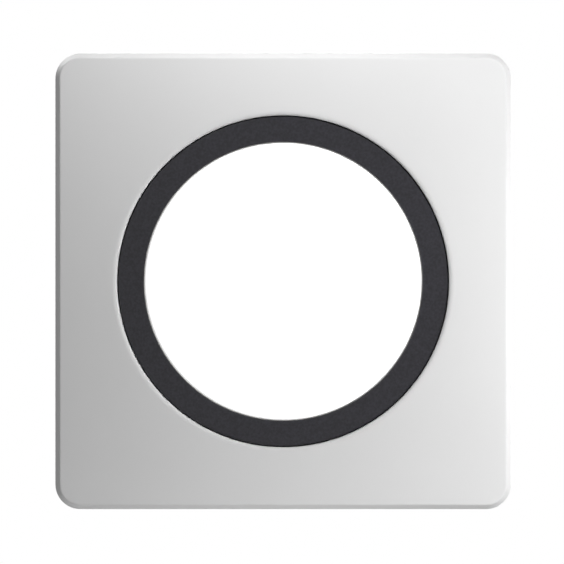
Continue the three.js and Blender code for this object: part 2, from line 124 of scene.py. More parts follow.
PAST = 1.0  # how far a cutter runs out past the face it cuts
ROOT = 0.5  # how far a boss or post runs into the wall it stands on

QUARTERS = ((1, 1), (-1, 1), (-1, -1), (1, -1))


# ---------------------------------------------------------------- outlines


def soften(corners, closed=True, steps=6):
    """An outline whose corners (u, v, radius) are rounded; a corner with no radius stays a point."""
    points = []
    count = len(corners)
    for i, corner in enumerate(corners):
        at = Vector(corner[:2])
        radius = corner[2] if len(corner) > 2 else 0
        if not radius or (not closed and i in (0, count - 1)):
            points.append(at)
            continue
        before = (Vector(corners[i - 1][:2]) - at).normalized()
        after = (Vector(corners[(i + 1) % count][:2]) - at).normalized()
        half = before.angle(after) / 2
        reach = radius / math.tan(half)
        centre = at + (before + after).normalized() * radius / math.sin(half)
        start = at + before * reach - centre
        end = at + after * reach - centre
        sweep = start.angle(end)
        points.append(centre + start + before * HOLD)
        for step in range(steps + 1):
            share = step / steps
            arm = start * math.sin((1 - share) * sweep) + end * math.sin(share * sweep)
            points.append(centre + arm / math.sin(sweep))
        points.append(centre + end + after * HOLD)
    return points


def roll(start, end, steps=8):
    """A quarter of an ellipse that leaves start level and arrives at end upright."""
    turns = [math.pi / 2 * step / steps for step in range(steps + 1)]
    return [
        Vector((start[0] + (end[0] - start[0]) * math.sin(t), end[1] + (start[1] - end[1]) * math.cos(t)))
        for t in turns
    ]


CORNER_STEPS = 12
SIDE_STEPS = 40


def square_loop(half, corner, z):
    """A rounded square as a loop of points at level z."""
    flat = half - corner
    middle = Vector((flat, flat))
    points = []
    for quarter in range(4):
        turn = Matrix.Rotation(quarter * math.pi / 2, 2)
        for step in range(SIDE_STEPS):
            points.append(turn @ Vector((half, 2 * flat * step / SIDE_STEPS - flat)))
        for step in range(CORNER_STEPS):
            angle = step / CORNER_STEPS * math.pi / 2
            points.append(turn @ (middle + corner * Vector((math.cos(angle), math.sin(angle)))))
    return [Vector((p.x, p.y, z)) for p in points]


def circle_loop(radius, z):
    """A circle whose points lie in the same directions as those of the plate's outline."""
    guide = square_loop(PLATE.half, PLATE_CORNER, z)
    return [Vector((p.x, p.y, 0)).normalized() * radius + Vector((0, 0, z)) for p in guide]


def round_points(radius, count, x=0.0, y=0.0):
    turns = [2 * math.pi * i / count for i in range(count)]
    return [Vector((x + radius * math.cos(t), y + radius * math.sin(t))) for t in turns]


def stadium(half_length, radius, x, y, steps=20):
    """A slot along x with round ends."""
    points = []
    for side in (1, -1):
        for step in range(steps + 1):
            turn = math.pi * (step / steps - 0.5)
            reach = half_length - radius + radius * math.cos(turn)
            points.append(Vector((x + side * reach, y + side * radius * math.sin(turn))))
    return points


def clipped_square(half, limit, radius):
    """A square whose corners are cut off where x + y passes limit, with softened corners."""
    short = limit - half
    return soften([
        (half, -short, radius), (half, short, radius), (short, half, radius), (-short, half, radius),
        (-half, short, radius), (-half, -short, radius), (-short, -half, radius), (short, -half, radius),
    ])


def round_box(half_x, half_y, radius, x=0.0, y=0.0):
    return soften([(x + sx * half_x, y + sy * half_y, radius) for sx, sy in QUARTERS])


# ---------------------------------------------------------------- meshes


def make(name, mesh):
    """A new object in the scene."""
    piece = bpy.data.objects.new(name, mesh)
    bpy.context.scene.collection.objects.link(piece)
    return piece


def tidy_mesh(name, bm):
    """The bmesh as an object, in the frame's metres, with all faces pointing out."""
    bmesh.ops.remove_doubles(bm, verts=bm.verts, dist=0.0005)
    bmesh.ops.recalc_face_normals(bm, faces=bm.faces)
    for vertex in bm.verts:
        vertex.co = room(*vertex.co)
    mesh = bpy.data.meshes.new(name)
    bm.to_mesh(mesh)
    bm.free()
    return make(name, mesh)


def loft(name, loops, ring=False):
    """A skin over loops of equal length: a ring joins last to first, or else the ends are capped."""
    bm = bmesh.new()
    rows = [[bm.verts.new(p) for p in loop] for loop in loops]
    pairs = list(zip(rows, rows[1:])) + ([(rows[-1], rows[0])] if ring else [])
    for low, high in pairs:
        for i in range(len(low)):
            j = (i + 1) % len(low)
            bm.faces.new((low[i], low[j], high[j], high[i]))
    if not ring:
        bm.faces.new(rows[0])
        bm.faces.new(rows[-1])
    return tidy_mesh(name, bm)


def revolve(name, profile, steps=256, x=0.0, y=0.0, radius_at=None):
    """A solid of revolution about z from a closed profile of (radius, z); radius_at may vary the radius."""
    bm = bmesh.new()
    rows = []
    for step in range(steps):
        turn = 2 * math.pi * step / steps
        reach = [radius_at(p.x, turn) if radius_at else p.x for p in profile]
        rows.append([
            bm.verts.new((x + r * math.cos(turn), y + r * math.sin(turn), p.y))
            for r, p in zip(reach, profile)
        ])
    for i, row in enumerate(rows):
        other = rows[(i + 1) % steps]
        for k in range(len(profile)):
            m = (k + 1) % len(profile)
            if profile[k].x < 1e-6 and profile[m].x < 1e-6:
                continue
            bm.faces.new((row[k], row[m], other[m], other[k]))
    return tidy_mesh(name, bm)


def prism(name, outline, z0, z1):
    """An outline in x and y, extruded from z0 to z1."""
    bm = bmesh.new()
    low = [bm.verts.new((p[0], p[1], z0)) for p in outline]
    high = [bm.verts.new((p[0], p[1], z1)) for p in outline]
    for i in range(len(low)):
        j = (i + 1) % len(low)
        bm.faces.new((low[i], low[j], high[j], high[i]))
    bm.faces.new(low)
    bm.faces.new(high)
    return tidy_mesh(name, bm)


def block(width, height, z0, z1, x=0.0, y=0.0):
    corners = [(x + sx * width / 2, y + sy * height / 2) for sx, sy in QUARTERS]
    return prism("block", corners, z0, z1)


def peg(radius, z0, z1, x=0.0, y=0.0, sides=48):
    return prism("peg", round_points(radius, sides, x, y), z0, z1)


def flared(outline, wider, z_small, z_edge, z_out):
    """A cutter with straight sides from z_small to z_edge that widens to the other outline by z_out."""
    middle = [Vector((p[0], p[1], z_edge)) for p in outline]
    return loft("flare", [
        [Vector((p[0], p[1], z_small)) for p in outline],
        middle,
        [Vector((p[0], p[1], z_out)) for p in wider],
    ])


def applied(piece):
    """The piece with its modifiers turned into mesh."""
    shape = piece.evaluated_get(bpy.context.evaluated_depsgraph_get())
    mesh = bpy.data.meshes.new_from_object(shape)
    piece.modifiers.clear()
    piece.data = mesh
    return piece


def swept(piece):
    """Takes away the specks that cutting leaves."""
    bm = bmesh.new()
    bm.from_mesh(piece.data)
    bmesh.ops.remove_doubles(bm, verts=bm.verts, dist=3e-6)
    bmesh.ops.dissolve_degenerate(bm, dist=2e-6, edges=bm.edges)
    bm.to_mesh(piece.data)
    bm.free()
    return piece


def combine(piece, tools, operation):
    """Joins the tools to the piece or cuts them out of it, and removes them."""
    for tool in tools:
        change = piece.modifiers.new("shape", "BOOLEAN")
        change.object = tool
        change.operation = operation
        change.solver = "EXACT"
    bpy.context.view_layer.update()
    applied(piece)
    for tool in tools:
        bpy.data.objects.remove(tool)
    return swept(piece)


def cut(piece, *tools):
    return combine(piece, tools, "DIFFERENCE")


def join(piece, *tools):
    return combine(piece, tools, "UNION")


def round_edges(piece, width, segments=3, angle=30):
    """Rounds the piece's crisp edges; width is in millimetres."""
    bm = bmesh.new()
    bm.from_mesh(piece.data)
    bmesh.ops.remove_doubles(bm, verts=bm.verts, dist=1e-6)
    bmesh.ops.dissolve_limit(bm, angle_limit=math.radians(0.6), verts=bm.verts, edges=bm.edges)
    bm.to_mesh(piece.data)
    bm.free()
    rounding = piece.modifiers.new("edges", "BEVEL")
    rounding.width = width / 1000
    rounding.segments = segments
    rounding.limit_method = "ANGLE"
    rounding.angle_limit = math.radians(angle)
    rounding.use_clamp_overlap = True
    bpy.context.view_layer.update()
    return applied(piece)


def shade(piece):
    """Smooth shading with crisp edges kept and flats kept flat."""
    bm = bmesh.new()
    bm.from_mesh(piece.data)
    for face in bm.faces:
        face.smooth = True
    for edge in bm.edges:
        edge.smooth = len(edge.link_faces) == 2 and edge.calc_face_angle(0) < SHARP
    bm.to_mesh(piece.data)
    bm.free()
    weighting = piece.modifiers.new("flats", "WEIGHTED_NORMAL")
    weighting.keep_sharp = True
    bpy.context.view_layer.update()
    return applied(piece)


def show(piece, name, body, slot, node):
    """Names and finishes a piece with its slot's material, ties it to its body, and hides the CAD node that
    it replaces.
    """
    piece.name = name
    piece.data.name = name
    shade(piece)
    piece.data.materials.clear()
    piece.data.materials.append(LOOKS[slot])
    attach(piece, body)
    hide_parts(node)


# ---------------------------------------------------------------- materials


class Nodes:
    """A short way to write a node material."""

    def __init__(self, name):
        self.material = bpy.data.materials.new(name)
        self.material.use_nodes = True
        self.tree = self.material.node_tree
        self.tree.nodes.clear()
        self.output = self.tree.nodes.new("ShaderNodeOutputMaterial")
        self.shader = self.tree.nodes.new("ShaderNodeBsdfPrincipled")
        self.wire(self.shader, "BSDF", self.output, "Surface")

    def add(self, kind, **settings):
        node = self.tree.nodes.new(kind)
        for key, value in settings.items():
            if hasattr(node, key):
                setattr(node, key, value)
            else:
                node.inputs[key.replace("_", " ")].default_value = value
        return node

    def wire(self, source, out, target, into):
        self.tree.links.new(source.outputs[out], target.inputs[into])

    def place(self, scale=(1, 1, 1)):
        """Coordinates in millimetres on the piece, stretched by scale."""
        coordinates = self.add("ShaderNodeTexCoord")
        mapping = self.add("ShaderNodeMapping")
        mapping.inputs["Scale"].default_value = [1000 * s for s in scale]
        self.wire(coordinates, "Object", mapping, "Vector")
        return mapping

    def noise(self, scale, detail=2.0, stretch=(1, 1, 1), roughness=0.5):
        node = self.add("ShaderNodeTexNoise", Scale=scale, Detail=detail, Roughness=roughness)
        self.wire(self.place(stretch), "Vector", node, "Vector")
        return node

    def ramp(self, source, out, low, high, start=0.3, end=0.7):
        """A value or colour that runs from low to high."""
        node = self.add("ShaderNodeValToRGB")
        node.color_ramp.elements[0].position = start
        node.color_ramp.elements[1].position = end
        node.color_ramp.elements[0].color = colour(low)
        node.color_ramp.elements[1].color = colour(high)
        self.wire(source, out, node, "Fac")
        return node

    def bump(self, source, out, depth):
        """Relief of the given depth in millimetres."""
        node = self.add("ShaderNodeBump", Strength=1.0, Distance=depth / 1000)
        self.wire(source, out, node, "Height")
        self.wire(node, "Normal", self.shader, "Normal")


def colour(value):
    return (*value, 1.0) if hasattr(value, "__len__") else (value, value, value, 1.0)


def shifted(base, share):
    return tuple(min(1.0, c * share) for c in base)


def moulded(name, base, rough=(0.42, 0.5), grain=4.0, depth=0.004, drift=0.015, level=0.5, speckle=0.0):
    """Moulded plastic: a fine spark-eroded grain, a slow drift of tone and a little uneven gloss."""
    n = Nodes(name)
    slow = n.noise(0.05, 3.0)
    tone = n.ramp(slow, "Fac", shifted(base, 1 - drift), shifted(base, 1 + drift))
    if speckle:
        specks = n.ramp(n.noise(2.4, 1.0), "Fac", 1 - speckle, 1.0)
        blend = n.add("ShaderNodeMix", data_type="RGBA", blend_type="MULTIPLY")
        blend.inputs[0].default_value = 1.0
        n.tree.links.new(tone.outputs["Color"], blend.inputs[6])
        n.tree.links.new(specks.outputs["Color"], blend.inputs[7])
        n.tree.links.new(blend.outputs[2], n.shader.inputs["Base Color"])
    else:
        n.wire(tone, "Color", n.shader, "Base Color")
    fine = n.noise(grain, 3.0)
    gloss = n.ramp(fine, "Fac", rough[0], rough[1])
    n.wire(gloss, "Color", n.shader, "Roughness")
    n.bump(fine, "Fac", depth)
    n.shader.inputs["Specular IOR Level"].default_value = level
    return n.material


def opal_with_painted_glow(name, base, glow):
    """Opal diffuser with painted light: an even glow that keeps the face plain white, dropping to seven
    tenths over the rim as painted shade.
    """
    n = Nodes(name)
    slow = n.noise(0.06, 2.0)
    tone = n.ramp(slow, "Fac", shifted(base, 0.985), base)
    n.wire(tone, "Color", n.shader, "Base Color")
    fine = n.noise(5.0, 2.0)
    n.wire(n.ramp(fine, "Fac", 0.38, 0.46), "Color", n.shader, "Roughness")
    n.bump(fine, "Fac", 0.002)
    # Painted shade: the painted glow dims over the outer rim.
    painted_rim_shade = n.add("ShaderNodeTexGradient", gradient_type="SPHERICAL")
    reach = n.add("ShaderNodeMapping")
    reach.inputs["Location"].default_value = [-c * 1000 / DISC.half for c in room(0, 0, DISC.front)]
    reach.inputs["Scale"].default_value = [1000 / DISC.half] * 3
    n.wire(n.add("ShaderNodeTexCoord"), "Object", reach, "Vector")
    n.wire(reach, "Vector", painted_rim_shade, "Vector")
    edge = RIM_WIDTH / DISC.half
    n.wire(n.ramp(painted_rim_shade, "Fac", glow * 0.7, glow, 0.0, edge), "Color", n.shader, "Emission Color")
    n.shader.inputs["Emission Strength"].default_value = 1.0
    n.shader.inputs["Specular IOR Level"].default_value = 0.3
    return n.material


def rolled_metal(name, base, rough=(0.24, 0.42), stretch=(0.12, 1, 1), depth=0.004):
    """Rolled or plated metal: fine lines along x, cloudy plating and worn gloss."""
    n = Nodes(name)
    lines = n.noise(3.0, 4.0, stretch, 0.65)
    cloud = n.noise(0.12, 4.0)
    tone = n.ramp(cloud, "Fac", shifted(base, 0.88), shifted(base, 1.08))
    n.wire(tone, "Color", n.shader, "Base Color")
    n.wire(n.ramp(lines, "Fac", rough[0], rough[1]), "Color", n.shader, "Roughness")
    n.bump(lines, "Fac", depth)
    n.shader.inputs["Metallic"].default_value = 1.0
    return n.material


def solder_mask(name, mask, copper):
    """Circuit board: green lacquer over a maze of copper tracks that stand a little proud."""
    n = Nodes(name)
    maze = n.add("ShaderNodeTexVoronoi", feature="DISTANCE_TO_EDGE", Scale=0.42)
    n.wire(n.place(), "Vector", maze, "Vector")
    track = n.ramp(maze, "Distance", copper, mask, 0.05, 0.07)
    n.wire(track, "Color", n.shader, "Base Color")
    height = n.ramp(maze, "Distance", 1.0, 0.0, 0.05, 0.07)
    weave = n.noise(2.5, 3.0)
    n.wire(n.ramp(weave, "Fac", 0.28, 0.4), "Color", n.shader, "Roughness")
    n.bump(height, "Color", 0.03)
    return n.material


def wound(name, tape, copper):
    """Winding under tape: close turns that show as ribs."""
    n = Nodes(name)
    ribs = n.add("ShaderNodeTexWave", bands_direction="Y", Scale=0.9, Distortion=0.3)
    n.wire(n.place(), "Vector", ribs, "Vector")
    n.wire(n.ramp(ribs, "Fac", copper, tape, 0.1, 0.6), "Color", n.shader, "Base Color")
    n.bump(ribs, "Fac", 0.05)
    n.shader.inputs["Roughness"].default_value = 0.42
    return n.material


def clear_plastic(name, tint):
    """Clear moulding with a pattern of light-spreading dots."""
    n = Nodes(name)
    dots = n.add("ShaderNodeTexVoronoi", Scale=0.7)
    n.wire(n.place(), "Vector", dots, "Vector")
    n.wire(n.ramp(dots, "Distance", 0.55, 0.08, 0.2, 0.3), "Color", n.shader, "Roughness")
    n.bump(dots, "Distance", 0.05)
    n.shader.inputs["Base Color"].default_value = colour(tint)
    n.shader.inputs["Transmission Weight"].default_value = 0.85
    n.shader.inputs["IOR"].default_value = 1.49
    return n.material


MATERIALS = (
    moulded("white_plastic", (0.86, 0.86, 0.86), (0.5, 0.56), depth=0.003, drift=0.008, level=0.35),
    moulded("inner_plastic", (0.74, 0.74, 0.72), (0.5, 0.64), grain=2.5, depth=0.01, drift=0.02),
    moulded(
        "charcoal_plastic", (0.0285, 0.0275, 0.0345), (0.42, 0.54), grain=2.6, depth=0.012, drift=0.06,
        level=0.72, speckle=0.5,
    ),
    # The opal face's glow is painted light, and its rim is dimmed as painted shade.
    opal_with_painted_glow("opal_plastic", (0.9, 0.9, 0.9), 0.75),
    clear_plastic("clear_plastic", (0.92, 0.96, 0.97)),
    moulded("grey_plastic", (0.27, 0.28, 0.29)),
    moulded("black_plastic", (0.02, 0.02, 0.022), (0.36, 0.52), grain=3.0, depth=0.01, drift=0.08),
    moulded("chip_black", (0.012, 0.012, 0.013), (0.5, 0.7), grain=8.0, depth=0.012, drift=0.1),
    moulded("relay_plastic", (0.03, 0.11, 0.32), (0.16, 0.26), grain=1.5, depth=0.006, drift=0.05),
    moulded("amber_plastic", (0.45, 0.1, 0.03), (0.14, 0.24), grain=0.6, depth=0.02, drift=0.08),
    moulded("terminal_plastic", (0.08, 0.2, 0.07), (0.4, 0.55), grain=3.0, depth=0.012, drift=0.05),
    moulded("led_lens", (0.85, 0.8, 0.55), (0.15, 0.25), depth=0.004, drift=0.05),
    solder_mask("circuit_board", (0.012, 0.085, 0.035), (0.03, 0.17, 0.06)),
    wound("winding_tape", (0.55, 0.36, 0.05), (0.36, 0.2, 0.04)),
    moulded("bonded_magnet", (0.04, 0.035, 0.032), (0.55, 0.75), grain=7.0, depth=0.015, drift=0.12),
    rolled_metal("can_aluminium", (0.6, 0.61, 0.62)),
    rolled_metal("spring_steel", (0.62, 0.62, 0.6), (0.3, 0.42), (0.08, 1, 1), 0.003),
    rolled_metal("zinc_steel", (0.55, 0.56, 0.575), (0.4, 0.55), (0.3, 1, 1), 0.005),
    rolled_metal("brass", (0.7, 0.52, 0.22), (0.22, 0.4)),
)
# The frame's own materials have some of these names, so Blender adds a number to the new ones.
LOOKS = {material.name.split(".")[0]: material for material in MATERIALS}
SLOTS = {part["node"]: part["material_slot"] for part in frame["record"]["subparts"]}


# ---------------------------------------------------------------- front


def plate_section():
    """The plate's section as loops: out over the wall and chamfer, in over the face and down the lip."""
    inside = PLATE.half - PLATE_WALL
    ceiling = PLATE.front - FACE_THICKNESS

    def square(half, z):
        return square_loop(half, max(PLATE_CORNER - (PLATE.half - half), 1.5), z)

    outer = soften([
        (inside, PLATE.back + 1),
        (inside, PLATE.back, 0.15),
        (PLATE.half, PLATE.back, 0.2),
        (PLATE.half, PLATE.front - CHAMFER_DEPTH, 0.5),
        (PLATE.half - CHAMFER_WIDTH, PLATE.front, 0.4),
        (PLATE.half - 4, PLATE.front),
    ], closed=False)
    lip = roll((OPENING + LIP_WIDTH, PLATE.front), (OPENING, PLATE.front - LIP_DEPTH))
    lip.insert(0, Vector((OPENING + LIP_WIDTH + HOLD, PLATE.front)))
    lip += soften([(OPENING, ceiling + 0.5), (OPENING, ceiling, 0.2), (OPENING + 1, ceiling)], closed=False)
    under = soften([
        (inside - 2, ceiling),
        (inside, ceiling, 0.5),
        (inside, PLATE.back + 1.5),
    ], closed=False)
    return (
        [square(p.x, p.y) for p in outer]
        + [circle_loop(p.x, p.y) for p in lip]
        + [square(p.x, p.y) for p in under]
    )


def vent_cutter(x, side):
    """A slot through the upper or lower wall, with a small chamfer outside."""
    width, low, high, flare, past = 1.4, 5.4, 10.4, 0.22, 0.05
    loops = []
    for depth, grow in ((PLATE_WALL + 0.6, 0), (flare, 0), (-past, flare + past)):
        y = side * (PLATE.half - depth)
        corners = [
            (x + sx * (width / 2 + grow), (low + high) / 2 + sz * ((high - low) / 2 + grow))
            for sx, sz in QUARTERS
        ]
        loops.append([Vector((cx, y, cz)) for cx, cz in corners])
    return loft("vent", loops)


def cover_plate():
    plate = loft("cover_plate", plate_section(), ring=True)
    ceiling = PLATE.front - FACE_THICKNESS
    boss_end = Extent("bearing_carrier").back + 1.7
    pilot_end = ceiling - 0.6
    bosses, pilots, ledges = [], [], []
    for sx, sy in QUARTERS:
        x, y = sx * HOUSING_SCREW.x, sy * HOUSING_SCREW.y
        bosses.append(peg(BOSS, boss_end, ceiling + ROOT, x, y))
        pilots.append(peg(SCREW_PILOT, boss_end - PAST, pilot_end, x, y))
        ledges.append(snap_ledge(sx * SPRING.x, sy))
    join(plate, *bosses, *ledges)
    pitch = 6
    slots = [vent_cutter(pitch * i, side) for i in range(-4, 5) for side in (1, -1)]
    notch_width, notch_end = 8, 1.7
    wall_middle = PLATE.half - PLATE_WALL / 2
    notch = block(notch_width, PLATE_WALL + PAST, -PAST, notch_end, 0, -wall_middle)
    cut(plate, *pilots, *slots, notch)
    show(plate, "plate_shell", "front_unit", "white_plastic", "cover_plate")


def snap_ledge(x, side):
    """The ledge inside the plate's wall that snaps behind a retaining spring."""
    width, low, tip, high = 12, 3.0, 3.8, 4.6
    inside = PLATE.half - PLATE_WALL
    edge = inside - 1.1
    outline = soften([
        (inside + ROOT, low), (inside, low), (edge, tip, 0.25), (edge, high, 0.15), (inside + ROOT, high),
    ])
    return across("ledge", outline, width, x, side)


def across(name, outline, width, x, side):
    """An outline in y and z, extruded along x about the middle x, on the upper or the lower side."""
    loops = [
        [Vector((x + reach * width / 2, side * p.x, p.y)) for p in outline] for reach in (-1, 1)
    ]
    return loft(name, loops)


def setting_ring():
    """The ring: a flange with click notches, a channel for the magnet ring and a bore for the sleeve."""
    bottom, flange_top = RING.back, 11.3
    channel_inner, channel_outer, channel_top = 27.8, 29.8, 11.9
    bore, bore_top = 27, 12.2
    clicks, notch = 24, 0.9

    def radius_at(radius, turn):
        if radius < RING_OUTER + RIM_WIDTH:
            return radius
        away = abs((turn * clicks / (2 * math.pi) + 0.5) % 1 - 0.5) * (2 * math.pi / clicks) * RING.half
        return radius - max(0.0, notch - away) * (radius - RING_OUTER) / (RING.half - RING_OUTER)

    profile = soften([
        (channel_outer, bottom, 0.1), (RING.half, bottom, 0.12), (RING.half, flange_top, 0.12),
        (RING_OUTER, flange_top, 0.1), (RING_OUTER, RING_FACE_LEVEL, 0.3),
        (RING_INNER, RING_FACE_LEVEL, 0.25), (RING_INNER, bore_top, 0.1), (bore, bore_top, 0.1),
        (bore, bottom, 0.1), (channel_inner, bottom, 0.1), (channel_inner, channel_top, 0.15),
        (channel_outer, channel_top, 0.15),
    ], steps=5)
    ring = revolve("ring", profile, 384, radius_at=radius_at)
    show(ring, "ring_shell", "ring", "charcoal_plastic", "setting_ring")


def face_disc():
    """The push face: a disc with a stem for the switch and a slit skirt that snaps into the sleeve."""
    back = DISC.front - 1.2
    stem, stem_end = 2, DISC.back
    skirt_inner, skirt_outer, skirt_end = 24.2, 25.1, 9.8
    snap, snap_low, snap_high = 25.55, 10.1, 10.5
    profile = soften([
        (0, stem_end), (stem, stem_end, 0.2), (stem, back, 0.2), (skirt_inner, back, 0.2),
        (skirt_inner, skirt_end, 0.15), (skirt_outer, skirt_end, 0.1), (snap, snap_low, 0.1),
        (snap, snap_high, 0.1), (skirt_outer, snap_high + 0.1, 0.05), (skirt_outer, back, 0.1),
        (DISC.half, back, 0.15), (DISC.half, DISC.front, 0.3), (0, DISC.front),
    ], steps=5)
    disc = revolve("disc", profile)
    slit_width, slit_end = 1.2, back - 0.3
    slits = []
    for turn in range(3):
        slit = block(60, slit_width, skirt_end - 0.5, slit_end)
        slit.data.transform(Matrix.Rotation(turn * math.pi / 3, 4, "Y"))
        slits.append(slit)
    inner, outer, low, high = 23.5, 26, 9, 12.4
    around_skirt = [Vector(p) for p in ((inner, low), (outer, low), (outer, high), (inner, high))]
    gap = revolve("gap", around_skirt, 96)
    cut(disc, *[combine(slit, [copy_of(gap)], "INTERSECT") for slit in slits])
    bpy.data.objects.remove(gap)
    show(disc, "opal_face", "face_button", "opal_plastic", "face_disc")


def copy_of(piece):
    return make(piece.name + "_copy", piece.data.copy())


# ---------------------------------------------------------------- screws and springs


def pan_screw(name, body, shaft, head, head_height, flip=False, pitch=None):
    """A pan-head screw with a cross recess where its CAD node is, with a thread if it has a pitch."""
    at = Extent(name)
    length = at.depth
    seat = length - head_height
    root, point, taper = shaft * 0.78, shaft * 0.35, shaft * 0.8
    brim, crown = seat + head_height * 0.6, head * 0.7
    profile = soften([
        (0, 0), (point, 0, 0.05), (root, taper), (root, seat, 0.05), (head, seat, 0.1),
        (head, brim, head_height * 0.35), (crown, length, head_height * 0.4), (0, length),
    ], steps=4)
    screw = revolve(name, profile, 48)
    if pitch:
        join(screw, thread(root, shaft, pitch, shaft * 0.9, seat - 0.4))
    width, span = head * 0.24, head * 1.15
    wide = [(sx * span / 2, sy * width / 2) for sx, sy in QUARTERS]
    narrow = [(u * 0.55, v * 0.8) for u, v in wide]
    recess_end = length - head_height * 0.6
    recess = []
    for turn in range(2):
        blade = flared(narrow, wide, recess_end, recess_end + 0.02, length + 0.3)
        blade.data.transform(Matrix.Rotation(turn * math.pi / 2, 4, "Y"))
        recess.append(blade)
    cut(screw, *recess)
    if flip:
        screw.data.transform(Matrix.Rotation(math.pi, 4, "Z") @ Matrix.Translation(room(0, 0, -length)))
    screw.data.transform(Matrix.Translation(room(at.x, at.y, at.back)))
    show(screw, name + "_fine", body, "zinc_steel", name)


def thread(root, crest, pitch, start, end):
    """A rolled thread: one triangular rib wound round the shaft, which fades in and out at its ends."""
    sides, sunk, flank = 24, 0.1, 0.36 * pitch
    bm = bmesh.new()
    turns = (end - start) / pitch
    rows = []
    for step in range(int(turns * sides) + 1):
        turn = step / sides
        z = start + turn * pitch
        fade = min(1.0, turn, turns - turn)
        top = root + (crest - root) * max(0.0, fade)
        angle = 2 * math.pi * turn
        rows.append([
            bm.verts.new((r * math.cos(angle), r * math.sin(angle), z + dz))
            for r, dz in ((root - sunk, -flank), (top, 0), (root - sunk, flank))
        ])
    for low, high in zip(rows, rows[1:]):
        for k in range(3):
            m = (k + 1) % 3
            bm.faces.new((low[k], low[m], high[m], high[k]))
    bm.faces.new(rows[0])
    bm.faces.new(rows[-1])
    return tidy_mesh("thread", bm)


def screws():
    for i in range(1, 5):
        pan_screw(f"housing_screw_{i}", "front_unit", shaft=1.05, head=2.2, head_height=1.1, flip=True)
        pan_screw(f"frame_screw_{i}", "power_unit", shaft=1.1, head=2.3, head_height=1.0)
    for i in range(1, 6):
        pan_screw(f"terminal_screw_{i}", "power_unit", shaft=1.0, head=1.7, head_height=1.4, flip=True)
    for side in ("left", "right"):
        pan_screw(f"wall_screw_{side}", "power_unit", shaft=1.7, head=3.8, head_height=2.0, pitch=1.0)


def strip_outline(line, thickness):
    """The outline of a bent strip about a softened centre line."""
    sides = ([], [])
    for i, point in enumerate(line):
        before, after = line[max(i - 1, 0)], line[min(i + 1, len(line) - 1)]
        along = (after - before).normalized()
        for side, reach in zip(sides, (-thickness / 2, thickness / 2)):
            side.append(point + Vector((-along.y, along.x)) * reach)
    return sides[0] + sides[1][::-1]


def retaining_springs():
    """The four leaves: a foot clinched to the frame, a shank, and the hump behind the plate's ledge."""
    width, thickness = 10, 0.4
    foot, foot_end, shank, hump = STEEL_FRAME.front + 0.5, 30.5, 39.2, 40.35
    line = soften([
        (foot_end, foot), (shank, foot, 0.9), (shank, 4.9, 0.6), (hump, 5.95, 0.5),
        (shank, 7.2, 0.6), (shank, 8.4),
    ], closed=False, steps=5)
    clinch_x, clinch_y, brim = 2.8, 33, 1.25
    dome = soften([
        (0, foot), (brim, foot, 0.05), (brim, foot + 0.32, 0.12), (0.75, foot + 0.45, 0.1),
        (0.65, foot + 0.3, 0.05), (0, foot + 0.3),
    ])
    for i, (sx, sy) in enumerate(QUARTERS, 1):
        leaf = across("leaf", strip_outline(line, thickness), width, sx * SPRING.x, sy)
        round_edges(leaf, 0.08, 2, 50)
        clinches = [
            revolve("clinch", dome, 32, sx * SPRING.x + reach, sy * clinch_y)
            for reach in (-clinch_x, clinch_x)
        ]
        join(leaf, *clinches)
        node = f"retaining_spring_{i}"
        show(leaf, f"spring_leaf_{i}", "power_unit", "spring_steel", node)


# ---------------------------------------------------------------- rear


def cup(name, half, corner, wall, floor_level, rim_level, floor, edge):
    """An open box with rounded corners: floor_level is its closed end and rim_level its open end."""
    middle = 0.02  # the closed end's sheets are lofted from a speck of this size
    inner_level = floor_level + floor
    section = soften([
        (middle, floor_level), (half, floor_level, edge), (half, rim_level, 0.15),
        (half - wall, rim_level, 0.15), (half - wall, inner_level, 0.4), (middle, inner_level),
    ], closed=False)
    return loft(name, [
        square_loop(p.x, corner - (half - p.x) if p.x > corner else p.x * 0.3, p.y) for p in section
    ])


def power_box():
    corner, wall, floor, edge = 14.0, 1.6, 1.6, 1.0
    back, inner = POWER_BOX.back, POWER_BOX.back + floor
    shell = cup("power_box", POWER_BOX.half, corner, wall, back, POWER_BOX.front, floor, edge)
    post, post_end, pilot_end = 3.4, -1.8, -12
    posts, tools = [], []
    for sx, sy in QUARTERS:
        x, y = sx * FRAME_SCREW.x, sy * FRAME_SCREW.y
        posts.append(peg(post, inner - ROOT, post_end, x, y))
        tools.append(peg(SCREW_PILOT, pilot_end, 0, x, y))
    join(shell, *posts)
    for i in range(1, 6):
        at = Extent(f"terminal_screw_{i}")
        hole, rim = (round_points(radius, 40, at.x, at.y) for radius in (2.1, 2.5))
        tools.append(flared(hole, rim, inner + 0.5, back + 0.6, back + 0.2))
        tools.append(wire_funnel(at.x, Extent(f"terminal_cage_{i}")))
    tools.append(label_recess(back, 5.5, half_x=13, half_y=6.5, radius=1.5, flare=0.3, edge=0.4))
    terminals, band_half, band_depth = Extent("terminal_block"), 3.1, 0.3
    band = round_box(terminals.width / 2, band_half, 1.5, terminals.x, Extent("terminal_screw_1").y)
    tools.append(prism("band", band, back - 0.1, back + band_depth))
    tools += [grip_flute(side, 3 * row) for row in range(-3, 4) for side in (1, -1)]
    cut(shell, *tools)
    show(shell, "power_box_shell", "power_unit", "inner_plastic", "power_box")


def label_recess(back, y, half_x, half_y, radius, flare, edge):
    """A cutter for the blank field of a rating label in a back face, with a rim that slopes down to edge."""
    field = round_box(half_x, half_y, radius, 0, y)
    rim = round_box(half_x + flare, half_y + flare, radius + flare, 0, y)
    return flared(field, rim, back + edge + 0.05, back + edge, back - 0.1)


def grip_flute(side, y):
    """A cutter for one of the shallow grooves in the box's side walls."""
    half_length, half_width, middle, depth = 5, 0.7, -14, 0.45
    outline = round_box(half_length, half_width, 0.65, middle, y)
    return loft("flute", [
        [Vector((side * (POWER_BOX.half + reach), p.y, p.x)) for p in outline] for reach in (-depth, 0.1)
    ])


